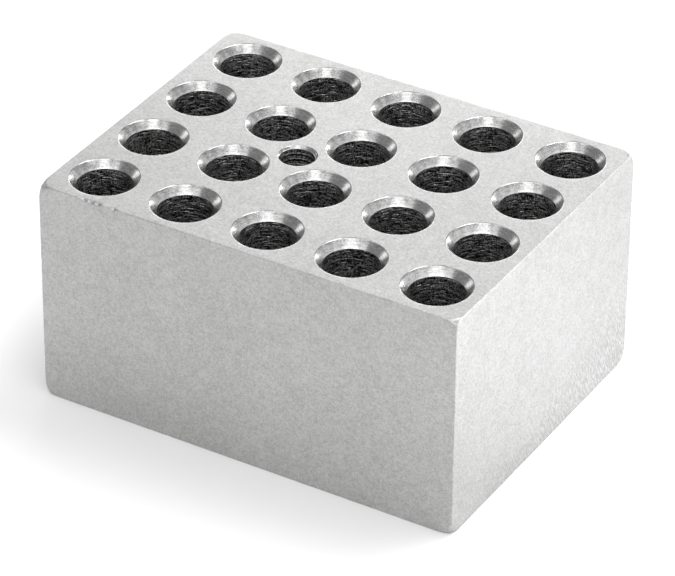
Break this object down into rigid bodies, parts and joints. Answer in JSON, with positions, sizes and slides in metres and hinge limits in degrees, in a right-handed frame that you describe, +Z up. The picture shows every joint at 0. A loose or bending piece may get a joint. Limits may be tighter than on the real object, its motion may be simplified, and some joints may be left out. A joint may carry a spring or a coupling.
{
  "type": "heating block",
  "caption": "Solid rectangular aluminium heating block for a dry block heater, with a grid of chamfered blind tube wells and a tapped lifting hole.",
  "frame": {"origin": "centre of the flat base that the block stands on", "axes": "+X along the long side, +Y along the short side, +Z up, out of the wells' mouths"},
  "size_m": [0.0952, 0.0724, 0.05],
  "materials": {
    "aluminium_body": "satin"
  },
  "bodies": {
    "root": {"heating_block": "aluminium_body"}
  },
  "joints": []
}
